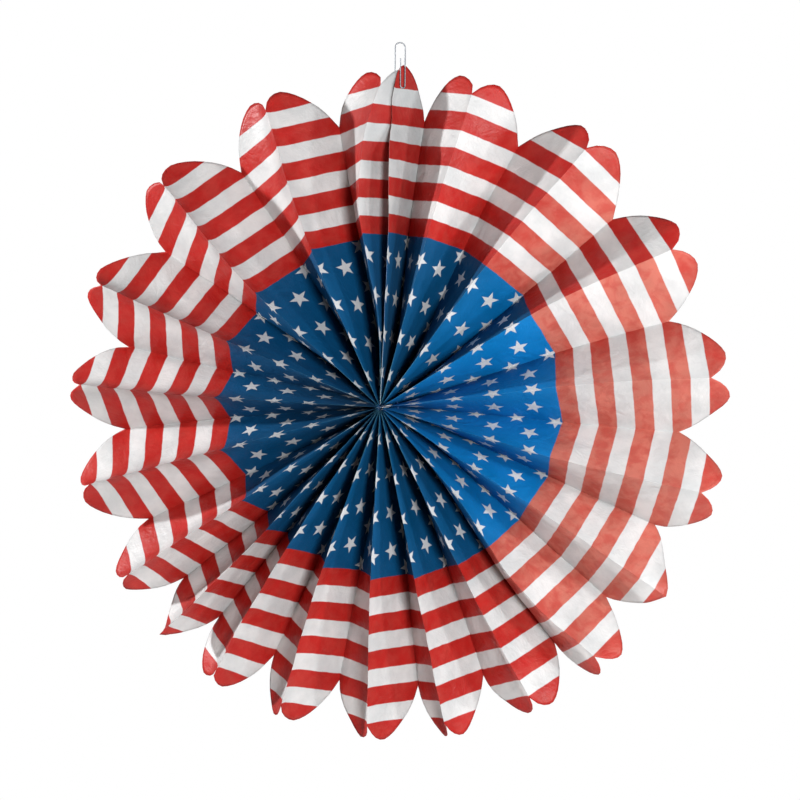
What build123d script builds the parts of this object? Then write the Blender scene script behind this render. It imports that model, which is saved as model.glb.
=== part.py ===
from build123d import *
from math import pi, radians, sin, cos, sqrt
import os

# Paper fan rosette, hung from a wire clip.
# The printed face looks along -Y and the rosette stands upright, +Z up.
# The origin is where a hook bears on the underside of the clip's upper loop.

# Driving dimensions, in millimetres

# Folded sheet
tip_radius = 317.5            # centre to the tip of a petal
hub_radius = 4.0              # open centre between the inner ends of the folds
fold_width = 64.0             # from one fold to the next, and the depth of a pleat at the centre
rim_depth = 40.0              # depth of a pleat at the tips, where the fan is spread
dish_depth = 20.0             # how far the rim lies behind the middle
paper_thickness = 0.3         # a crinkled sheet of tissue, measured over its wrinkles
crease_bulk = 8.0             # most that the sheet measures across a fold, front to back

# Wire clip
wire_diameter = 1.2
clip_length = 50.0            # over both ends
clip_width = 12.0             # over the outer loop
inner_loop_width = 6.4        # over the loop that shows in front of the paper
top_loop_width = 10.4         # over the upper loop
nest_gap = 6.0                # from the end of the outer loop to the end of the inner one
clip_grip = 24.0              # how far the outer loop reaches down behind the petal
inner_tail = 25.0             # straight wire from the inner loop to its free end
outer_tail = 30.0             # straight wire from the outer loop to its free end
clip_clearance = 0.35         # wire to paper

# Thread at the centre
thread_diameter = 0.8
thread_ring_radius = 11.0     # centre of the thread's ring from the centre of the fan
thread_clearance = 0.25       # between the thread and the edge of its holes

cut_overrun = 5.0             # how far a cutting shape runs past what it cuts

# Counts and shares

pleat_count = 20
pleat_turn = 360 / pleat_count

# Where each fold lies, clockwise from the top and counted in pleats. The seam is at the top.
ridge_turn_shares = (0.86, 2.10, 3.37, 4.68, 5.84, 6.85, 7.76, 8.54, 9.41, 10.20,
                     11.10, 11.88, 12.48, 13.17, 14.18, 15.19, 16.24, 17.42, 18.72, 19.88)
valley_turn_shares = (0.35, 1.43, 2.77, 4.05, 5.28, 6.34, 7.31, 8.09, 8.97, 9.73,
                      10.64, 11.45, 12.22, 12.83, 13.63, 14.71, 15.66, 16.84, 18.12, 19.36)

# A petal's cut end is two arcs, from its ridge over the tip and on to its valley. Each point is a place
# across the panel and a share of the tip radius.
petal_shares = ((0.0, 0.95), (0.12, 0.983), (0.31, 1.0), (0.66, 0.948), (1.0, 0.855))

# Two petals end in one point on their ridge instead. Ridges are counted clockwise from the top.
pointed_ridges = (6, 13)
pointed_petal_shares = ((0.0, 0.985), (0.12, 0.98), (0.31, 0.966), (0.66, 0.925), (1.0, 0.855))

# Radii at which the curve of a fold is set, as shares of the tip radius
fold_curve_shares = (0.06, 0.14, 0.3, 0.5, 0.75)

# The end panels lie one over the other. Each raw edge stands off the fold that it lies beside by this
# share of the panel, at the centre and at the rim.
lap_hub_share = 0.35
lap_rim_share = 0.03

# The clip sits on the seam's petal, this share of the way from its ridge to its valley
clip_place_share = 0.48


def pleat_depth(radius):
    """Depth of a pleat, ridge to valley, at a distance from the centre."""
    opened = (radius / tip_radius) ** 2
    return sqrt(fold_width ** 2 * (1 - opened) + rim_depth ** 2 * opened)


def crease_height(radius):
    """Thickness of the sheet at a fold, measured front to back."""
    span = 2 * radius * sin(pi / (2 * pleat_count))
    return min(paper_thickness * sqrt(1 + (pleat_depth(radius) / span) ** 2), crease_bulk)


def fold_height(side, radius):
    """Height of a fold over the plane of the hub: side is 1 on a ridge and -1 in a valley."""
    return side * pleat_depth(radius) / 2 - dish_depth * radius / tip_radius


def plan_point(radius, turn_share):
    """Place in the plane of the hub, turned clockwise from the top."""
    angle = radians(turn_share * pleat_turn)
    return Vector(radius * sin(angle), radius * cos(angle), 0)


def panel_point(radius, across, ridge_turn, valley_turn):
    """Place on a panel, from its ridge at 0 to its valley at 1."""
    ridge = plan_point(radius, ridge_turn) + Vector(0, 0, fold_height(1, radius))
    valley = plan_point(radius, valley_turn) + Vector(0, 0, fold_height(-1, radius))
    return ridge + (valley - ridge) * across


def between(start, end, share):
    return start + (end - start) * share


# The seam: the last ridge and the first valley carry the two end panels

seam_ridge = ridge_turn_shares[-1] - pleat_count
seam_valley = valley_turn_shares[0]

# Where the clip grips. The middle of its grip lies on the seam's panel, and its loops lie along it.

grip_radius = tip_radius - clip_grip / 2
grip_middle = panel_point(grip_radius, clip_place_share, seam_ridge, seam_valley)
grip_across = (panel_point(grip_radius, 1, seam_ridge, seam_valley)
               - panel_point(grip_radius, 0, seam_ridge, seam_valley)).normalized()
grip_upward = panel_point(tip_radius, clip_place_share, seam_ridge, seam_valley) - grip_middle
grip_normal = grip_across.cross(grip_upward).normalized()
grip_span = plan_point(grip_radius, seam_valley) - plan_point(grip_radius, seam_ridge)
lap_gap = lap_rim_share * grip_span.dot(grip_normal)

# The loops of the clip, in its own plane: x across the panel, y up the petal and z out of its printed
# face. The outer loop lies behind the paper and the inner one before it, and the upper loop joins them.

wire_radius = wire_diameter / 2
loop_lift = (lap_gap + paper_thickness) / 2 + clip_clearance + wire_radius
clip_bottom = -clip_grip / 2
clip_top = clip_bottom + clip_length
outer_x = clip_width / 2 - wire_radius
outer_bend_y = clip_bottom + wire_radius + outer_x
upper_x = top_loop_width - wire_diameter - outer_x
upper_bend_x = (upper_x - outer_x) / 2
upper_bend_radius = sqrt((upper_x - upper_bend_x) ** 2 + loop_lift ** 2)
upper_bend_y = clip_top - wire_radius - upper_bend_radius
inner_bend_radius = inner_loop_width / 2 - wire_radius
inner_bend_x = upper_x - inner_bend_radius
inner_bend_y = clip_bottom + nest_gap + wire_radius + inner_bend_radius

# Frames. A hook bears on the underside of the upper loop, and that place is the origin.

grip = Plane(origin=grip_middle, x_dir=grip_across, z_dir=grip_normal)
hook_place = grip.from_local_coords(Vector(upper_bend_x, clip_top - wire_diameter, 0))
fan = Plane(origin=Plane.XZ.from_local_coords(hook_place) * -1, x_dir=(1, 0, 0), z_dir=(0, -1, 0))
clip_plane = Plane(
    origin=fan.from_local_coords(grip_middle),
    x_dir=Plane.XZ.from_local_coords(grip_across),
    z_dir=Plane.XZ.from_local_coords(grip_normal),
)


def fold_section(side, hub_turn, rim_turn):
    """The sliver that the sheet makes in the upright plane along a fold."""
    start = plan_point(hub_radius, hub_turn)
    end = plan_point(tip_radius + cut_overrun, rim_turn)
    along = (end - start).normalized()
    plane = Plane(
        origin=fan.from_local_coords(start),
        x_dir=Plane.XZ.from_local_coords(along),
        z_dir=Plane.XZ.from_local_coords(along.cross(Vector(0, 0, 1))),
    )
    radii = [hub_radius] + [tip_radius * share for share in fold_curve_shares] + [tip_radius + cut_overrun]
    front = []
    back = []
    for radius in radii:
        middle = fold_height(side, radius)
        half = crease_height(radius) / 2
        front.append((radius - hub_radius, middle + half))
        back.append((radius - hub_radius, middle - half))
    with BuildSketch(plane) as section:
        with BuildLine():
            Spline(*front)
            Line(front[-1], back[-1])
            Spline(*reversed(back))
            Line(back[0], front[0])
        make_face()
    return section.sketch


# Thread ring, drawn first because the sheet is pierced for it

thread_axis = Axis(fan.origin, fan.z_dir)
thread_plane = Plane(
    origin=fan.from_local_coords(Vector(0, thread_ring_radius, 0)),
    x_dir=fan.z_dir,
    z_dir=fan.x_dir,
)

with BuildPart() as centre_thread:
    with BuildSketch(thread_plane):
        Circle(thread_diameter / 2)
    revolve(axis=thread_axis)
centre_thread.part.label = "centre_thread"

# Folded sheet

# Each fold is a side, and its turn at the hub and at the rim. The two raw edges come first and last.
folds = [(1,
          between(seam_ridge, seam_valley, lap_hub_share),
          between(seam_ridge, seam_valley, lap_rim_share))]
for valley_turn, ridge_turn in zip(valley_turn_shares, ridge_turn_shares):
    folds.append((-1, valley_turn, valley_turn))
    folds.append((1, ridge_turn, ridge_turn))
folds.append((-1,
              pleat_count + between(seam_valley, seam_ridge, lap_hub_share),
              pleat_count + between(seam_valley, seam_ridge, lap_rim_share)))

with BuildPart() as pleated_paper:
    loft(sections=[fold_section(*fold) for fold in folds], ruled=True)
    with BuildSketch(fan.offset(-fold_width - dish_depth)):
        with BuildLine():
            for index, valley_turn in enumerate(valley_turn_shares):
                next_turn = ridge_turn_shares[index]
                last_turn = ridge_turn_shares[index - 1] if index else seam_ridge
                falling = pointed_petal_shares if index in pointed_ridges else petal_shares
                rising = pointed_petal_shares if index + 1 in pointed_ridges else petal_shares
                for ridge_turn, ordered in ((last_turn, falling), (next_turn, rising[::-1])):
                    edge = [plan_point(tip_radius * share, between(ridge_turn, valley_turn, across))
                            for across, share in ordered]
                    ThreePointArc(*edge[:3])
                    ThreePointArc(*edge[2:])
        make_face()
    extrude(amount=2 * (fold_width + dish_depth), mode=Mode.INTERSECT)
    with BuildSketch(thread_plane):
        Circle(thread_diameter / 2 + thread_clearance)
    revolve(axis=thread_axis, mode=Mode.SUBTRACT)
pleated_paper.part.label = "pleated_paper"

# Wire clip, from the free end behind the paper to the free end before it

with BuildPart() as hanging_clip:
    with BuildLine(clip_plane) as wire:
        Line((outer_x, outer_bend_y + outer_tail, -loop_lift), (outer_x, outer_bend_y, -loop_lift))
        ThreePointArc((outer_x, outer_bend_y, -loop_lift),
                      (0, clip_bottom + wire_radius, -loop_lift),
                      (-outer_x, outer_bend_y, -loop_lift))
        Line((-outer_x, outer_bend_y, -loop_lift), (-outer_x, upper_bend_y, -loop_lift))
        ThreePointArc((-outer_x, upper_bend_y, -loop_lift),
                      (upper_bend_x, clip_top - wire_radius, 0),
                      (upper_x, upper_bend_y, loop_lift))
        Line((upper_x, upper_bend_y, loop_lift), (upper_x, inner_bend_y, loop_lift))
        ThreePointArc((upper_x, inner_bend_y, loop_lift),
                      (inner_bend_x, inner_bend_y - inner_bend_radius, loop_lift),
                      (inner_bend_x - inner_bend_radius, inner_bend_y, loop_lift))
        Line((inner_bend_x - inner_bend_radius, inner_bend_y, loop_lift),
             (inner_bend_x - inner_bend_radius, inner_bend_y + inner_tail, loop_lift))
    with BuildSketch(Plane(wire.line ^ 0)):
        Circle(wire_radius)
    sweep()
hanging_clip.part.label = "hanging_clip"

os.makedirs("parts", exist_ok=True)
for piece in (pleated_paper, hanging_clip, centre_thread):
    export_step(piece.part, f"parts/{piece.part.label}.step")
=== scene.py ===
import bpy
from math import cos, pi, radians, sin, sqrt
from mathutils import Matrix, Vector, noise


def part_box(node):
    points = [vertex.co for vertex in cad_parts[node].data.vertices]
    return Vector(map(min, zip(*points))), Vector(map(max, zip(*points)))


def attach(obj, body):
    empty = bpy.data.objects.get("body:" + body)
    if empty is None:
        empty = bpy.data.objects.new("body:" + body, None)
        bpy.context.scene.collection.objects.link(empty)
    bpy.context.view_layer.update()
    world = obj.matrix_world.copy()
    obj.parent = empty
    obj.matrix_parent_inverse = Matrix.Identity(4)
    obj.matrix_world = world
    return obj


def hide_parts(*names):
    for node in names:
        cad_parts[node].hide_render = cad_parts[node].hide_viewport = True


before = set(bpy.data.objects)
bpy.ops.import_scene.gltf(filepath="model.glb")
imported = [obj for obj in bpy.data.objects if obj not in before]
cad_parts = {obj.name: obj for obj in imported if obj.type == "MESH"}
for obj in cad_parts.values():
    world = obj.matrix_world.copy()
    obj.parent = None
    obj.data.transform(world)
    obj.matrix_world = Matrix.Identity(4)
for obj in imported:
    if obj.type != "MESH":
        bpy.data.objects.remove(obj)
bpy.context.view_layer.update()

# The printed face looks along -Y. Places on the fan are given in its own axes: x to the right, y up and
# z out of the printed face, from the centre of the hub.

MM = 0.001

# Driving dimensions. The solids have a hub radius of 4 mm and 0.3 mm thick paper, and the rest as here.
tip_radius = 317.5 * MM
hub_radius = 3.0 * MM
fold_width = 64.0 * MM
rim_depth = 40.0 * MM
dish_depth = 20.0 * MM
paper_thickness = 0.26 * MM
pleat_count = 20
pleat_turn = 360 / pleat_count

# Where each fold lies, clockwise from the top and counted in pleats
ridge_turn_shares = (0.86, 2.10, 3.37, 4.68, 5.84, 6.85, 7.76, 8.54, 9.41, 10.20,
                     11.10, 11.88, 12.48, 13.17, 14.18, 15.19, 16.24, 17.42, 18.72, 19.88)
valley_turn_shares = (0.35, 1.43, 2.77, 4.05, 5.28, 6.34, 7.31, 8.09, 8.97, 9.73,
                      10.64, 11.45, 12.22, 12.83, 13.63, 14.71, 15.66, 16.84, 18.12, 19.36)

# How far each fold leans over between the border of the blue field and the rim, counted in pleats
ridge_lean_shares = (0.05, 0.10, 0.18, 0.08, -0.07, 0.03, 0.0, -0.03, 0.0, -0.04,
                     -0.08, -0.06, 0.05, 0.03, 0.0, 0.04, 0.0, 0.18, 0.14, 0.0)
valley_lean_shares = (0.0, 0.11, 0.0, 0.06, -0.03, 0.0, -0.02, -0.11, 0.0, -0.03,
                      -0.03, -0.02, -0.02, 0.05, 0.02, -0.04, 0.04, 0.0, -0.02, 0.04)
lean_start_share = 0.45
lean_pivot_share = 0.75

# Some folds bend instead: share of the tip radius, and how far they stand off their turn in pleats
ridge_bend_shares = {
    7: ((0.0, -0.04), (0.32, -0.03), (0.49, 0.11), (0.6, 0.17), (0.75, 0.12), (0.92, 0.0), (1.0, -0.05)),
    20: ((0.0, 0.1), (0.2, 0.05), (0.32, -0.06), (0.4, -0.17), (0.51, -0.25), (0.6, -0.27), (0.7, -0.2),
         (0.8, -0.12), (0.9, -0.01), (1.0, 0.0)),
}
valley_bend_shares = {1: ((0.0, -0.09), (0.45, -0.09), (0.75, -0.03), (0.9, 0.0), (1.0, 0.0))}

# The raw edge in front stands between the last ridge and the first valley, and the other lies behind it.
# Towards the rim both end panels are pressed flat on one another, where the clip holds them.
front_edge_bend_shares = ((0.0, 0.11), (0.3, 0.11), (0.52, 0.105), (0.72, 0.065), (0.93, 0.03), (1.0, 0.02))
back_edge_turn_share = 0.2
front_edge_place_shares = ((0.0, 0.42), (0.82, 0.42), (0.9, 0.3), (1.0, 0.21))
seam_ridge_slide_shares = ((0.0, 0.0), (0.86, 0.0), (0.91, 0.03), (0.96, 0.14), (1.0, 0.17))
back_foot_share = 0.93
edge_curl = 2.4 * MM
edge_curl_share = 0.2
press_start_share = 0.72
press_end_share = 0.9
lap_gap = 0.5 * MM

# A petal's cut end, from its ridge over the tip and on to its valley: place across the panel, and radius
petal_shares = ((0.0, 0.95), (0.12, 0.983), (0.31, 1.0), (0.48, 0.983), (0.66, 0.948), (0.84, 0.905),
                (1.0, 0.855))

# The end panel in front has its own cut end, from its raw edge to its valley
front_petal_shares = ((0.0, 0.955), (0.1, 0.993), (0.25, 1.013), (0.46, 0.997), (0.61, 0.97), (0.79, 0.922),
                      (1.0, 0.862))

# Two petals end in one point on their ridge instead
pointed_ridges = (6, 13)
pointed_petal_shares = ((0.0, 0.985), (0.12, 0.973), (0.31, 0.953), (0.66, 0.911), (0.84, 0.886),
                        (1.0, 0.855))

# Every cut end wanders a little. Noise is read at places one pitch apart from panel to panel, over one run
# across a panel, and each kind of unevenness has a layer of its own.
wander_share = 0.006
wander_pitch = 3.7
wander_run = 1.5
wander_layer = 4.0

# Beside a ridge the sheet falls steeply at first: how far it lags behind an even slope, on the two sides of
# a ridge, how much deeper it lies there, and how wide that lip is
fall_lip_share = 0.115
rise_lip_share = 0.06
lip_drop_share = 1.25
lip_width_share = 0.25

# The lips are mostly on the left side of the fan: the panels where they start, are full, begin to end and
# have ended, and the shares of the tip radius where they start and are full
lip_start_panel = 13
lip_full_panel = 19
lip_still_panel = 37
lip_end_panel = 40
lip_start_share = 0.3
lip_full_share = 0.55

# Panels bow out between their folds, by an amount that swells and shrinks from panel to panel
bow_height = 1.4 * MM
bow_swell = 3.0
swell_pitch = 5.3
swell_place = 0.5
swell_layer = 0.0

# Waves run all over the sheet, and are lower towards the hub
wave_height = 0.9 * MM
wave_hub_share = 0.25
waves_per_metre = 22
wave_increment = 0.8
wave_lacunarity = 2.2
wave_octaves = 3

# The free ends of the petals curl
curl_height = 5.0 * MM
curl_start_share = 0.8
curl_pitch = 2.1
curl_run = 1.6
curl_layer = 7.0

# Bows, waves and curls die out over this distance towards the hub
calm_width = 60 * MM

# Print, as shares of the tip radius
border_share = 0.51
stripe_share = 0.0544
star_pitch_share = 0.1165
star_first_share = 0.0955
star_middle_drop_share = 0.015
star_valley_lift_share = 0.0435
star_free_share = 0.05

# Stars. Those down the middle of a panel lie a share of its width nearer to the valley.
star_points = 5
star_radius = 8.8 * MM
star_waist_share = 0.42
star_width_share = 1.35
star_spread = 3.2 * MM
star_shift_share = 0.05
star_edge_inside = 0.3 * MM
star_edge_outside = 0.5 * MM

# Edges of the stripes wobble and are soft. Places across them are counted in stripes from the border. What
# lies past the last place has the last stripe's ink, and the end panel behind is bare past the other place.
edge_wobble = 1.6 * MM
edge_softness = 0.5 * MM
last_stripe_place = 8.5
bare_stripe_place = 7.9

# The inks are painted paler on the right of the fan as painted light: a painted sheen on the red and painted
# light on the blue. Distances along the strip where that starts, is full, begins to end and has ended. On the
# panels that rise to a ridge it starts later, and it is less on the last stripe.
painted_light_start = 3 * fold_width
painted_light_full = 5.5 * fold_width
painted_light_still = 12.5 * fold_width
painted_light_end = 16 * fold_width
rising_painted_light_start = 6.3 * fold_width
rising_painted_light_full = 8.0 * fold_width
tip_painted_light_start = 7.4
tip_painted_light_full = 8.2
tip_painted_light_share = 0.45

# The red's painted sheen comes in patches: the speckle values where a patch starts and is full, how much
# painted sheen there is between patches where the inks are paler, how much more in them, and how much the
# patches give everywhere
sheen_patch_low = 0.32
sheen_patch_high = 0.72
between_sheen_patches_share = 0.58
sheen_patch_share = 0.55
sheen_patch_everywhere_share = 0.12

# Ink is cracked off along the folds of the blue field. Inside the first radius the line is whole and
# widest, and outside the second it is narrow and broken. The last two are the speckle values where it is
# gone and where it holds.
wear_whole_radius = 15 * MM
wear_broken_radius = 90 * MM
wear_core = 0.1 * MM
wear_width = 0.7 * MM
wear_widening = 0.9 * MM
wear_whole_share = 0.7
wear_low = 0.35
wear_high = 0.7

# Tissue: its mottled tone, its roughness and shine, and the light that comes through. The two end panels lie
# one over the other, and are duller, and painted darker as painted shade.
mottle_share = 0.86
lap_painted_shade_share = 0.86
lap_margin = 0.1
lowest_roughness = 0.34
highest_roughness = 0.5
blue_added_roughness = 0.2
lap_added_roughness = 0.2
shine = 0.38
crinkle_strength = 0.7
crinkle_height = 2.6 * MM
fine_crinkle_share = 0.25
through_tint = (1.1, 0.85, 0.77)
blue_through_share = 0.15

# Inks on the printed side, and as the back shows them, in screen values from 0 to 255. The red with painted
# sheen and the blue with painted light are painted light, not inks.
printed_inks = {
    "red": (204, 41, 36),
    "red painted sheen": (220, 132, 115),
    "white": (232, 238, 240),
    "deep blue": (0, 91, 144),
    "blue painted light": (0, 138, 218),
    "star": (250, 251, 253),
    "worn": (120, 196, 214),
}
back_inks = {
    "red": (222, 116, 112),
    "red painted sheen": (228, 140, 132),
    "white": (236, 233, 230),
    "deep blue": (84, 126, 180),
    "blue painted light": (92, 136, 192),
    "star": (226, 230, 240),
    "worn": (226, 228, 234),
}
printed_through_share = 0.42
back_through_share = 0.22

# Most values of a speckle lie between these
speckle_low = 0.3
speckle_high = 0.7

# Mesh
panel_columns = 12
rows = 84


def mix(start, end, share):
    return start + (end - start) * share


def ramp(value, low, high):
    """0 below low and 1 above high, smooth between them."""
    share = min(max((value - low) / (high - low), 0.0), 1.0)
    return share * share * (3 - 2 * share)


def through(table, place):
    """A smooth value through a table of (place, value) points."""
    for index in range(len(table) - 1):
        if place <= table[index + 1][0]:
            break
    points = [table[max(index - 1, 0)], table[index], table[index + 1], table[min(index + 2, len(table) - 1)]]
    (x0, y0), (x1, y1), (x2, y2), (x3, y3) = points
    share = (place - x1) / (x2 - x1)
    slope_1 = (y2 - y0) / (x2 - x0) * (x2 - x1)
    slope_2 = (y3 - y1) / (x3 - x1) * (x2 - x1)
    return ((2 * share**3 - 3 * share**2 + 1) * y1 + (share**3 - 2 * share**2 + share) * slope_1
            + (3 * share**2 - 2 * share**3) * y2 + (share**3 - share**2) * slope_2)


# The fan's axes in the scene. The thread ring is centred on the hub.
thread_low, thread_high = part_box("centre_thread")
hub = (thread_low + thread_high) / 2
fan_to_scene = Matrix.Translation(hub) @ Matrix(((1, 0, 0, 0), (0, 0, -1, 0), (0, 1, 0, 0), (0, 0, 0, 1)))


# Folded sheet

def pleat_depth(radius):
    """From ridge to valley, front to back: as deep as a panel is wide at the centre, and less as it opens."""
    opened = (radius / tip_radius) ** 2
    return sqrt(max(fold_width**2 * (1 - opened) + rim_depth**2 * opened, 0.0))


class Fold:
    """A fold or raw edge: 1 on a ridge and -1 in a valley, with its turn, its lean and its bend.

    It may slide a share of the way toward another fold, by a table over the radius."""

    def __init__(self, side, turn, lean=0.0, bend=None):
        self.side = side
        self.turn = turn
        self.lean = lean
        self.bend = bend
        self.toward = None
        self.slide = None

    def place(self, radius):
        share = radius / tip_radius
        turn = self.turn + self.lean * (ramp(share, lean_start_share, 1.0) - lean_pivot_share)
        if self.bend:
            turn += through(self.bend, share)
        angle = radians(turn * pleat_turn)
        height = self.side * pleat_depth(radius) / 2 - dish_depth * share
        place = Vector((radius * sin(angle), radius * cos(angle), height))
        if self.slide:
            place = mix(place, self.toward.place(radius), through(self.slide, share))
        return place


folds = [Fold(1, 0.0, bend=front_edge_bend_shares)]
for index in range(pleat_count):
    valley_bend = valley_bend_shares.get(index + 1)
    ridge_bend = ridge_bend_shares.get(index + 1)
    folds.append(Fold(-1, valley_turn_shares[index], valley_lean_shares[index], valley_bend))
    folds.append(Fold(1, ridge_turn_shares[index], ridge_lean_shares[index], ridge_bend))
folds.append(Fold(-1, pleat_count + back_edge_turn_share))
panel_count = len(folds) - 1

# At the rim the last ridge slides along the seam's panel, which stays where the clip holds it
folds[-2].toward = folds[1]
folds[-2].slide = seam_ridge_slide_shares


def ridge_number(panel):
    """Which ridge a panel belongs to, counted clockwise from the top."""
    return (panel + 1) // 2


def from_ridge(panel, share):
    """Place across a panel from its ridge, for a share of the way along the strip."""
    return share if folds[panel].side > 0 else 1 - share


def pressed(radius):
    """How far the two end panels are pressed flat on one another."""
    return ramp(radius / tip_radius, press_start_share, press_end_share)


def outline_radius(panel, across):
    """Radius of a panel's cut end, at a place across it from its ridge."""
    wander = noise.noise(Vector((panel * wander_pitch, across * wander_run, wander_layer)))
    shares = pointed_petal_shares if ridge_number(panel) in pointed_ridges else petal_shares
    if panel == 0:
        shares = front_petal_shares
    return tip_radius * (through(shares, across) + wander_share * wander)


def front_edge(radius):
    """The raw edge in front, which comes to lie on the panel behind it."""
    place = through(front_edge_place_shares, radius / tip_radius)
    return mix(folds[0].place(radius), mix(folds[-2].place(radius), folds[1].place(radius), place),
               pressed(radius))


def lip_share(panel, across, radius):
    """How far the sheet lags behind an even slope beside a ridge, as a share of the panel."""
    size = fall_lip_share if folds[panel].side > 0 else rise_lip_share
    size *= ramp(panel, lip_start_panel, lip_full_panel) * (1 - ramp(panel, lip_still_panel, lip_end_panel))
    size *= ramp(radius / tip_radius, lip_start_share, lip_full_share)
    if across < lip_width_share:
        return size * (1 - (1 - across / lip_width_share) ** 2)
    return size * (1 - ramp(across, lip_width_share, 1.0))


def pressed_place(share, radius):
    """The end panel that lies behind: it reaches over to the raw edge in front and follows it down."""
    ridge = folds[-2].place(radius)
    edge = front_edge(radius)
    foot = folds[1].place(radius)
    slope = (foot - edge).normalized()
    edge = edge - slope.cross(Vector((0, 1, 0))).normalized() * lap_gap / 2
    reach = (edge - ridge).length
    travel = share * fold_width
    if travel < reach:
        return mix(ridge, edge, travel / reach)
    return edge + slope * min(travel - reach, (foot - edge).length * back_foot_share)


def unevenness(panel, share, radius):
    """How far the sheet stands off its smooth shape: bows, waves and the curl of its free ends."""
    out = radius / tip_radius
    swell = noise.noise(Vector((panel * swell_pitch, swell_place, swell_layer)))
    bow = sin(pi * from_ridge(panel, share)) * out * (1 + bow_swell * swell) * bow_height
    strip = Vector(((panel + share) * fold_width, radius, 0))
    wave = noise.fractal(strip * waves_per_metre, wave_increment, wave_lacunarity, wave_octaves)
    wave *= mix(wave_hub_share, 1.0, out) * wave_height
    curl = noise.noise(Vector((panel * curl_pitch, share * curl_run, curl_layer)))
    curl *= ramp(out, curl_start_share, 1.0) * curl_height
    keep = min(1.0, (radius - hub_radius) / calm_width)
    if panel in (0, panel_count - 1):
        keep *= 1 - pressed(radius)
    return (bow + wave + curl) * keep


def panel_place(panel, share, radius):
    """Middle of the sheet, with a share of the way across a panel in the strip's own order."""
    start = front_edge(radius) if panel == 0 else folds[panel].place(radius)
    end = folds[panel + 1].place(radius)
    lip = lip_share(panel, from_ridge(panel, share), radius)
    if folds[panel].side < 0:
        lip = -lip
    place = mix(start, end, share - lip)
    place.z = mix(start.z, end.z, share + lip * lip_drop_share)
    angle = radians(folds[panel].turn * pleat_turn)
    facing = (end - start).cross(Vector((sin(angle), cos(angle), 0))).normalized()
    if panel == 0:
        curled = edge_curl * max(1 - share / edge_curl_share, 0.0) ** 2
        place += facing * pressed(radius) * (lap_gap / 2 + curled)
    if panel == panel_count - 1:
        place = mix(place, pressed_place(share, radius), pressed(radius))
    return place + facing * unevenness(panel, share, radius)


column_count = panel_count * panel_columns + 1


def at(column, row):
    """Number of the corner in a column along the strip and a row out from the hub."""
    return column * (rows + 1) + row


def sheet_places():
    """Middle of the sheet at every corner, and the same places on the flat strip."""
    middles = []
    flats = []
    for column in range(column_count):
        panel = min(column // panel_columns, panel_count - 1)
        share = column / panel_columns - panel
        rim = outline_radius(panel, from_ridge(panel, share))
        for row in range(rows + 1):
            radius = mix(hub_radius, rim, row / rows)
            middles.append(panel_place(panel, share, radius))
            flats.append((column / panel_columns * fold_width, radius))
    return middles, flats


def corner_normals(places, quads):
    normals = [Vector() for _ in places]
    for a, b, c, d in quads:
        normal = (places[c] - places[a]).cross(places[d] - places[b]).normalized()
        for index in (a, b, c, d):
            normals[index] += normal
    return [normal.normalized() for normal in normals]


def cut_edges():
    """The corners along the strip's four cut edges, in one ring."""
    ring = [at(column, rows) for column in range(column_count)]
    ring += [at(column_count - 1, row) for row in reversed(range(rows))]
    ring += [at(column, 0) for column in reversed(range(column_count - 1))]
    ring += [at(0, row) for row in range(1, rows)]
    return ring


def lay_flat(mesh, flats):
    """Gives both skins their places on the flat strip, as a UV map in metres."""
    layer = mesh.uv_layers.new(name="sheet")
    for loop in mesh.loops:
        layer.data[loop.index].uv = flats[loop.vertex_index % len(flats)]


def sharpen_folds(mesh, count):
    """Marks the folds as sharp edges on both skins, which have this count of corners each."""
    folded = {at(column, row) for column in range(0, column_count, panel_columns) for row in range(rows + 1)}
    for edge in mesh.edges:
        a, b = edge.vertices
        same_skin = (a < count) == (b < count)
        if same_skin and a % count in folded and b % count in folded:
            edge.use_edge_sharp = True


def sheet_mesh():
    """A closed thin shell: printed skin, back skin and the cut edges between them."""
    middles, flats = sheet_places()
    quads = [(at(column, row), at(column + 1, row), at(column + 1, row + 1), at(column, row + 1))
             for column in range(column_count - 1) for row in range(rows)]
    rises = [normal * (paper_thickness / 2) for normal in corner_normals(middles, quads)]
    front = [fan_to_scene @ (place + rise) for place, rise in zip(middles, rises)]
    back = [fan_to_scene @ (place - rise) for place, rise in zip(middles, rises)]
    count = len(middles)
    faces = list(quads)
    faces += [tuple(index + count for index in reversed(quad)) for quad in quads]
    ring = cut_edges()
    for here, there in zip(ring, ring[1:] + ring[:1]):
        faces.append((here, there, there + count, here + count))
    mesh = bpy.data.meshes.new("paper_rosette")
    mesh.from_pydata(front + back, [], faces)
    lay_flat(mesh, flats)
    for polygon in mesh.polygons:
        polygon.use_smooth = True
        polygon.material_index = 0 if polygon.index < len(quads) else 1
    sharpen_folds(mesh, count)
    mesh.validate()
    return mesh


# Materials

def shader_tree(name):
    """A new material, with its node tree and its main shader."""
    material = bpy.data.materials.new(name)
    material.use_nodes = True
    tree = material.node_tree
    return material, tree, tree.nodes["Principled BSDF"]


def give(tree, value, socket):
    """Links a socket to another one, or sets it to a plain value."""
    if isinstance(value, bpy.types.NodeSocket):
        tree.links.new(value, socket)
    else:
        socket.default_value = value


def maths(tree, operation, *values, clamp=False):
    node = tree.nodes.new("ShaderNodeMath")
    node.operation = operation
    node.use_clamp = clamp
    for value, socket in zip(values, node.inputs):
        give(tree, value, socket)
    return node.outputs[0]


def spread(tree, value, low, high, to_low=0.0, to_high=1.0, smooth=True):
    """Carries the range from low to high over to another range, and holds it at that range's ends."""
    node = tree.nodes.new("ShaderNodeMapRange")
    node.interpolation_type = "SMOOTHSTEP" if smooth else "LINEAR"
    for given, socket in zip((value, low, high, to_low, to_high), node.inputs):
        give(tree, given, socket)
    return node.outputs[0]


def between(tree, share, if_zero, if_one):
    """An even change from one number to another over a share."""
    return spread(tree, share, 0.0, 1.0, if_zero, if_one, smooth=False)


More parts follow.
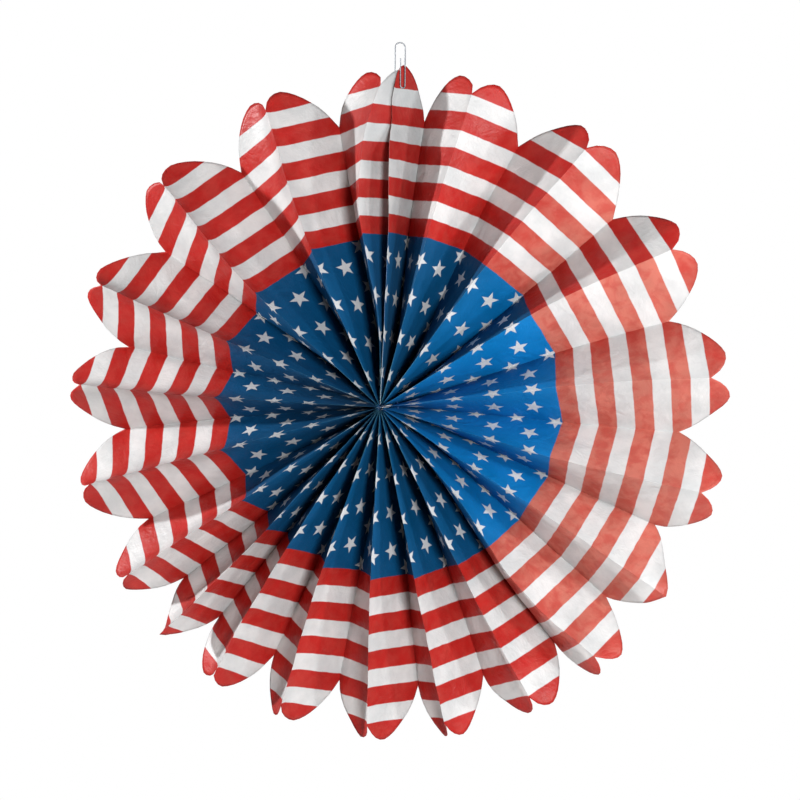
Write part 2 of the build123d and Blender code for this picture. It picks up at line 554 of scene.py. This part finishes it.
def blend(tree, share, start, end):
    node = tree.nodes.new("ShaderNodeMix")
    node.data_type = "RGBA"
    give(tree, share, node.inputs["Factor"])
    for value, socket in ((start, node.inputs[6]), (end, node.inputs[7])):
        give(tree, value, socket)
    return node.outputs[2]


def vector(tree, x, y, z=0.0):
    node = tree.nodes.new("ShaderNodeCombineXYZ")
    for value, socket in zip((x, y, z), node.inputs):
        give(tree, value, socket)
    return node.outputs[0]


def scaled(tree, ink, share):
    """A colour times a number."""
    node = tree.nodes.new("ShaderNodeVectorMath")
    node.operation = "SCALE"
    give(tree, ink, node.inputs[0])
    give(tree, share, node.inputs["Scale"])
    return node.outputs[0]


def product(tree, ink, other):
    """Two colours, channel by channel."""
    node = tree.nodes.new("ShaderNodeVectorMath")
    node.operation = "MULTIPLY"
    give(tree, ink, node.inputs[0])
    give(tree, other, node.inputs[1])
    return node.outputs[0]


def speckle(tree, place, scale, detail=2.0, roughness=0.5, distortion=0.0):
    node = tree.nodes.new("ShaderNodeTexNoise")
    give(tree, place, node.inputs["Vector"])
    node.inputs["Scale"].default_value = scale
    node.inputs["Detail"].default_value = detail
    node.inputs["Roughness"].default_value = roughness
    node.inputs["Distortion"].default_value = distortion
    return node.outputs["Fac"]


def chance(tree, place, channel):
    """A random number from 0 to 1 for each whole place."""
    node = tree.nodes.new("ShaderNodeTexWhiteNoise")
    node.noise_dimensions = "3D"
    give(tree, place, node.inputs["Vector"])
    parts = tree.nodes.new("ShaderNodeSeparateColor")
    tree.links.new(node.outputs["Color"], parts.inputs[0])
    return parts.outputs[channel]


def bumps(tree, height, distance, strength=1.0):
    """A bumpy normal from a height."""
    bump = tree.nodes.new("ShaderNodeBump")
    bump.inputs["Strength"].default_value = strength
    bump.inputs["Distance"].default_value = distance
    tree.links.new(height, bump.inputs["Height"])
    return bump.outputs[0]


def object_places(tree):
    return tree.nodes.new("ShaderNodeTexCoord").outputs["Object"]


def colour(red, green, blue):
    """A colour from its screen values, 0 to 255."""
    def linear(value):
        value = value / 255
        return value / 12.92 if value <= 0.04045 else ((value + 0.055) / 1.055) ** 2.4
    return (linear(red), linear(green), linear(blue), 1.0)


def star_shape(tree, x, y, tilt):
    """1 inside a star, for places from its centre and the angle by which it is turned."""
    bearing = maths(tree, "ADD", maths(tree, "ARCTAN2", x, y), tilt)
    squares = maths(tree, "ADD", maths(tree, "MULTIPLY", x, x), maths(tree, "MULTIPLY", y, y))
    reach = maths(tree, "SQRT", squares)
    point = 2 * pi / star_points
    sector = maths(tree, "FLOORED_MODULO", maths(tree, "ADD", bearing, point / 2), point)
    sector = maths(tree, "ABSOLUTE", maths(tree, "SUBTRACT", sector, point / 2))
    waist = star_radius * star_waist_share
    edge = Vector((waist * sin(point / 2), star_radius - waist * cos(point / 2))).normalized()
    past = maths(tree, "SUBTRACT", maths(tree, "MULTIPLY", reach, maths(tree, "COSINE", sector)), star_radius)
    aside = maths(tree, "MULTIPLY", reach, maths(tree, "SINE", sector))
    distance = maths(tree, "MULTIPLY_ADD", past, edge.x, maths(tree, "MULTIPLY", aside, edge.y))
    return spread(tree, distance, -star_edge_inside, star_edge_outside, 1.0, 0.0)


def star_field(tree, strip, along):
    """1 inside a white star. Stars sit on the ridges, down the middle of each panel and in the valleys."""
    # Columns of stars come round in fours: on a ridge, down a middle, in a valley and down a middle
    column_pitch = fold_width / 2
    column = maths(tree, "ROUND", maths(tree, "DIVIDE", strip, column_pitch))
    kind = maths(tree, "FLOORED_MODULO", column, 4.0)
    in_valley = maths(tree, "COMPARE", kind, 2.0, 0.5)
    in_middle = maths(tree, "FLOORED_MODULO", column, 2.0)
    sway = maths(tree, "MULTIPLY", in_middle, maths(tree, "SUBTRACT", 2.0, kind))
    lift = star_valley_lift_share * tip_radius
    drop = star_middle_drop_share * tip_radius
    first = maths(tree, "MULTIPLY_ADD", in_valley, lift, star_first_share * tip_radius)
    first = maths(tree, "MULTIPLY_ADD", in_middle, -drop, first)
    pitch = star_pitch_share * tip_radius
    row = maths(tree, "ROUND", maths(tree, "DIVIDE", maths(tree, "SUBTRACT", along, first), pitch))
    cell = vector(tree, column, row)
    x = maths(tree, "SUBTRACT", strip, maths(tree, "MULTIPLY", column, column_pitch))
    x = maths(tree, "MULTIPLY_ADD", sway, -star_shift_share * fold_width, x)
    y = maths(tree, "SUBTRACT", maths(tree, "SUBTRACT", along, first), maths(tree, "MULTIPLY", row, pitch))
    x = maths(tree, "MULTIPLY_ADD", maths(tree, "SUBTRACT", chance(tree, cell, 0), 0.5), star_spread, x)
    y = maths(tree, "MULTIPLY_ADD", maths(tree, "SUBTRACT", chance(tree, cell, 1), 0.5), star_spread, y)
    x = maths(tree, "DIVIDE", x, star_width_share)
    tilt = maths(tree, "SUBTRACT", chance(tree, cell, 2), 0.5)
    return star_shape(tree, x, y, tilt)


def flat_places(tree):
    """Places on the flat strip: how far along it, and how far out from the centre of the fan."""
    flat = tree.nodes.new("ShaderNodeUVMap")
    flat.uv_map = "sheet"
    parts = tree.nodes.new("ShaderNodeSeparateXYZ")
    tree.links.new(flat.outputs[0], parts.inputs[0])
    return parts.outputs[0], parts.outputs[1]


def painted_light_paleness(tree, strip, band):
    """How far painted light pales the inks, panel by panel along the strip and less on the last stripe."""
    panel = maths(tree, "FLOOR", maths(tree, "DIVIDE", strip, fold_width))
    rising = maths(tree, "FLOORED_MODULO", panel, 2.0)
    start = between(tree, rising, painted_light_start, rising_painted_light_start)
    full = between(tree, rising, painted_light_full, rising_painted_light_full)
    # Painted light: the inks are painted paler where the lamps fall on the right of the fan
    painted_light_share = maths(tree, "MULTIPLY", spread(tree, strip, start, full),
                 spread(tree, strip, painted_light_still, painted_light_end, 1.0, 0.0))
    at_tip = spread(tree, band, tip_painted_light_start, tip_painted_light_full, 1.0, tip_painted_light_share)
    return maths(tree, "MULTIPLY", painted_light_share, at_tip)


def stripes(tree, inks, strip, band, place, painted_light_share):
    """Red and white stripes. The red gets a painted sheen, stronger in patches, and the last panel's tip is
    unprinted.
    """
    phase = maths(tree, "FLOORED_MODULO", band, 2.0)
    soft = edge_softness / (stripe_share * tip_radius)
    into_white = spread(tree, phase, 1.0 - soft, 1.0 + soft)
    out_of_white = spread(tree, phase, 2.0 - 2 * soft, 2.0)
    white = maths(tree, "SUBTRACT", into_white, out_of_white)
    # Patches of painted sheen, standing in for glossy highlights on the crinkled tissue
    sheen_patches = speckle(tree, place, scale=70.0, detail=4.0, roughness=0.55, distortion=0.5)
    sheen_patches = spread(tree, sheen_patches, sheen_patch_low, sheen_patch_high)
    patchy = maths(tree, "MULTIPLY_ADD", sheen_patches, sheen_patch_share, between_sheen_patches_share)
    painted_light_share = maths(tree, "MULTIPLY", patchy, painted_light_share, clamp=True)
    painted_light_share = maths(tree, "MULTIPLY_ADD", sheen_patches, sheen_patch_everywhere_share, painted_light_share, clamp=True)
    # The red is painted paler towards a painted sheen colour
    printed = blend(tree, white, blend(tree, painted_light_share, inks["red"], inks["red painted sheen"]), inks["white"])
    last_panel = maths(tree, "GREATER_THAN", strip, (panel_count - 1) * fold_width)
    bare = maths(tree, "MULTIPLY", last_panel, maths(tree, "GREATER_THAN", band, bare_stripe_place))
    return blend(tree, bare, printed, inks["white"])


def blue_field(tree, inks, strip, along, painted_light_share):
    """Blue with white stars, which start a little way out from the hub. The blue is painted paler by painted
    light.
    """
    stars = maths(tree, "MULTIPLY", star_field(tree, strip, along),
                  maths(tree, "GREATER_THAN", along, star_free_share * tip_radius))
    return blend(tree, stars, blend(tree, painted_light_share, inks["deep blue"], inks["blue painted light"]), inks["star"])


def print_colours(tree, inks, strip, along, place):
    """The print in flat sheet places: a blue field towards the hub, then stripes to the tips.

    It comes with a share that is 1 in the blue field."""
    wobble = maths(tree, "SUBTRACT", speckle(tree, place, scale=60.0), 0.5)
    wobbly = maths(tree, "MULTIPLY_ADD", wobble, edge_wobble, along)
    from_border = maths(tree, "SUBTRACT", wobbly, border_share * tip_radius)
    band = maths(tree, "DIVIDE", from_border, stripe_share * tip_radius)
    band = maths(tree, "MINIMUM", band, last_stripe_place)
    painted_light_share = painted_light_paleness(tree, strip, band)
    inner = spread(tree, from_border, -edge_softness, edge_softness, 1.0, 0.0)
    striped = stripes(tree, inks, strip, band, place, painted_light_share)
    starred = blue_field(tree, inks, strip, along, painted_light_share)
    return blend(tree, inner, striped, starred), inner


def fold_wear(tree, strip, along, place):
    """1 on a fold, where the ink has cracked, in a broken line. Towards the hub it is whole and wider."""
    off = maths(tree, "PINGPONG", strip, fold_width / 2)
    inward = spread(tree, along, wear_whole_radius, wear_broken_radius, 1.0, 0.0)
    reach = maths(tree, "MULTIPLY_ADD", inward, wear_widening, wear_width)
    near = spread(tree, off, wear_core, reach, 1.0, 0.0)
    broken = spread(tree, speckle(tree, place, scale=240.0, detail=3.0), wear_low, wear_high)
    kept = maths(tree, "MULTIPLY", broken, 1 - wear_whole_share)
    kept = maths(tree, "MULTIPLY_ADD", inward, wear_whole_share, kept)
    return maths(tree, "MULTIPLY", near, kept)


def crinkle(tree, place):
    """The tissue's fine wrinkles: broad creases with finer ones on them."""
    broad = speckle(tree, place, scale=38.0, detail=4.0, roughness=0.55, distortion=0.6)
    fine = speckle(tree, place, scale=160.0, detail=3.0, roughness=0.6, distortion=0.4)
    creases = maths(tree, "ABSOLUTE", maths(tree, "SUBTRACT", broad, 0.5))
    height = maths(tree, "MULTIPLY_ADD", fine, fine_crinkle_share, creases)
    return bumps(tree, height, crinkle_height, crinkle_strength)


def single_layer(tree, strip):
    """1 where the paper is one layer thick, and 0 on the two end panels, which lie one over the other."""
    past_first = spread(tree, strip, (1 - lap_margin) * fold_width, (1 + lap_margin) * fold_width)
    before_last = spread(tree, strip, (panel_count - 1 - lap_margin) * fold_width,
                         (panel_count - 1 + lap_margin) * fold_width, 1.0, 0.0)
    return maths(tree, "MULTIPLY", past_first, before_last)


def light_through(tree, ink, inner, bump):
    """Light that comes through the sheet: deeper and warmer than the ink, and little of it in the blue."""
    deep = product(tree, ink, ink)
    warm = product(tree, deep, through_tint)
    dimmed = scaled(tree, warm, between(tree, inner, 1.0, blue_through_share))
    glow = tree.nodes.new("ShaderNodeBsdfTranslucent")
    tree.links.new(dimmed, glow.inputs["Color"])
    tree.links.new(bump, glow.inputs["Normal"])
    return glow.outputs[0]


def tissue(name, screen_inks, through_share):
    """Thin printed paper, which lets a share of the light through."""
    material, tree, shader = shader_tree(name)
    inks = {ink: colour(*values) for ink, values in screen_inks.items()}
    strip, along = flat_places(tree)
    place = vector(tree, strip, along)
    ink, inner = print_colours(tree, inks, strip, along, place)
    wear = maths(tree, "MULTIPLY", fold_wear(tree, strip, along, place), inner)
    ink = blend(tree, wear, ink, inks["worn"])
    cloud = speckle(tree, place, scale=24.0, detail=4.0, roughness=0.6)
    single = single_layer(tree, strip)
    # On the two end panels the tone is painted darker, as painted shade
    tone = maths(tree, "MULTIPLY", spread(tree, cloud, speckle_low, speckle_high, mottle_share, 1.0),
                 between(tree, single, lap_painted_shade_share, 1.0))
    ink = scaled(tree, ink, tone)
    bump = crinkle(tree, place)
    roughness = spread(tree, cloud, speckle_low, speckle_high, lowest_roughness, highest_roughness)
    roughness = maths(tree, "MULTIPLY_ADD", inner, blue_added_roughness, roughness)
    roughness = maths(tree, "ADD", roughness, between(tree, single, lap_added_roughness, 0.0))
    tree.links.new(ink, shader.inputs["Base Color"])
    tree.links.new(bump, shader.inputs["Normal"])
    tree.links.new(roughness, shader.inputs["Roughness"])
    shader.inputs["Specular IOR Level"].default_value = shine
    both = tree.nodes.new("ShaderNodeMixShader")
    both.inputs[0].default_value = through_share
    tree.links.new(shader.outputs[0], both.inputs[1])
    tree.links.new(light_through(tree, ink, inner, bump), both.inputs[2])
    tree.links.new(both.outputs[0], tree.nodes["Material Output"].inputs["Surface"])
    return material


rosette = bpy.data.objects.new("paper_rosette", sheet_mesh())
bpy.context.scene.collection.objects.link(rosette)
rosette.data.materials.append(tissue("printed_tissue", printed_inks, printed_through_share))
rosette.data.materials.append(tissue("tissue_back", back_inks, back_through_share))
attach(rosette, "root")
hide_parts("pleated_paper")


# Wire clip

def drawn_steel():
    material, tree, shader = shader_tree("drawn_steel")
    streaks = speckle(tree, object_places(tree), scale=900.0, detail=4.0, roughness=0.6)
    dark, light = colour(112, 116, 122), colour(150, 153, 157)
    polished, dull = 0.42, 0.58
    tone = blend(tree, spread(tree, streaks, speckle_low, speckle_high), dark, light)
    roughness = spread(tree, streaks, speckle_low, speckle_high, polished, dull)
    tree.links.new(tone, shader.inputs["Base Color"])
    tree.links.new(roughness, shader.inputs["Roughness"])
    shader.inputs["Metallic"].default_value = 1.0
    return material


# Thread

def spun_thread():
    material, tree, shader = shader_tree("spun_thread")
    fibres = speckle(tree, object_places(tree), scale=2500.0, detail=3.0, roughness=0.7)
    dark, light = colour(28, 52, 96), colour(44, 74, 124)
    fibre_height = 0.1 * MM
    tone = blend(tree, spread(tree, fibres, speckle_low, speckle_high), dark, light)
    tree.links.new(tone, shader.inputs["Base Color"])
    shader.inputs["Roughness"].default_value = 0.85
    tree.links.new(bumps(tree, fibres, fibre_height), shader.inputs["Normal"])
    return material


def dress(piece, material):
    """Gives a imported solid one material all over."""
    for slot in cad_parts[piece].material_slots:
        slot.material = material


dress("hanging_clip", drawn_steel())
dress("centre_thread", spun_thread())


# Stage

floor_height = -1.5
floor_radius = 3.0
floor_corners = 96
floor_glow = 0.35
fill_strength = 0.03
glossy_share = 0.6


def floor_material():
    """A pale floor, which glows a little where the camera sees it."""
    material, tree, shader = shader_tree("pale_floor")
    mottle = speckle(tree, object_places(tree), scale=3.0)
    tone = blend(tree, mottle, colour(232, 231, 229), colour(238, 237, 235))
    tree.links.new(tone, shader.inputs["Base Color"])
    shader.inputs["Roughness"].default_value = 0.9
    shader.inputs["Emission Color"].default_value = (1, 1, 1, 1)
    seen = tree.nodes.new("ShaderNodeLightPath").outputs["Is Camera Ray"]
    tree.links.new(maths(tree, "MULTIPLY", seen, floor_glow), shader.inputs["Emission Strength"])
    return material


bpy.ops.mesh.primitive_circle_add(vertices=floor_corners, radius=floor_radius, fill_type="NGON",
                                  location=(hub.x, hub.y, floor_height))
floor = bpy.context.object
floor.name = "pale_floor"
floor.data.materials.append(floor_material())

scene = bpy.context.scene
scene.view_settings.view_transform = "Standard"


def white_room():
    """A world that is white to the camera, less so in a shine, and gives only a little light."""
    world = bpy.data.worlds.new("white_room")
    world.use_nodes = True
    tree = world.node_tree
    rays = tree.nodes.new("ShaderNodeLightPath")
    seen = maths(tree, "MAXIMUM", rays.outputs["Is Camera Ray"],
                 maths(tree, "MULTIPLY", rays.outputs["Is Glossy Ray"], glossy_share))
    background = tree.nodes["Background"]
    background.inputs["Color"].default_value = (1, 1, 1, 1)
    tree.links.new(between(tree, seen, fill_strength, 1.0), background.inputs["Strength"])
    return world


scene.world = white_room()


def aim(item, azimuth, elevation, distance):
    """Stands a lamp or camera off from the hub, at a bearing counted to the right, and aims it at the hub."""
    side, up = radians(azimuth), radians(elevation)
    away = Vector((sin(side) * cos(up), -cos(side) * cos(up), sin(up)))
    item.location = hub + away * distance
    item.rotation_euler = (-away).to_track_quat("-Z", "Y").to_euler()


def lamp(name, azimuth, elevation, distance, size, power):
    """A square lamp that looks at the hub."""
    data = bpy.data.lights.new(name, "AREA")
    data.size = size
    data.energy = power
    item = bpy.data.objects.new(name, data)
    scene.collection.objects.link(item)
    aim(item, azimuth, elevation, distance)


# Name, bearing and elevation in degrees, distance and size in metres, and power in watts
lamps = (
    ("key", 61, 4, 1.5, 0.12, 8),
    ("low_right", 76, -2, 1.7, 0.2, 6),
    ("front_right", 26, 0, 1.3, 0.25, 19),
    ("low_left", -77, 14, 1.8, 0.08, 36),
    ("front_left", -42, 4, 2.2, 0.4, 6),
    ("back", 178, 12, 2.0, 0.9, 36),
)
for lamp_settings in lamps:
    lamp(*lamp_settings)

# Camera, at the photograph's bearing, height and distance
photo_size = 800
view_azimuth = 10.7
view_elevation = 1.6
view_distance = 1.794
hub_pixel = (386.5, 406.4)
pixels_per_radian = 1914.8
sensor = 36.0

camera_data = bpy.data.cameras.new("camera")
camera_data.sensor_width = sensor
camera_data.lens = sensor * pixels_per_radian / photo_size
camera_data.shift_x = (photo_size / 2 - hub_pixel[0]) / photo_size
camera_data.shift_y = (hub_pixel[1] - photo_size / 2) / photo_size
camera = bpy.data.objects.new("camera", camera_data)
scene.collection.objects.link(camera)
aim(camera, view_azimuth, view_elevation, view_distance)
scene.camera = camera
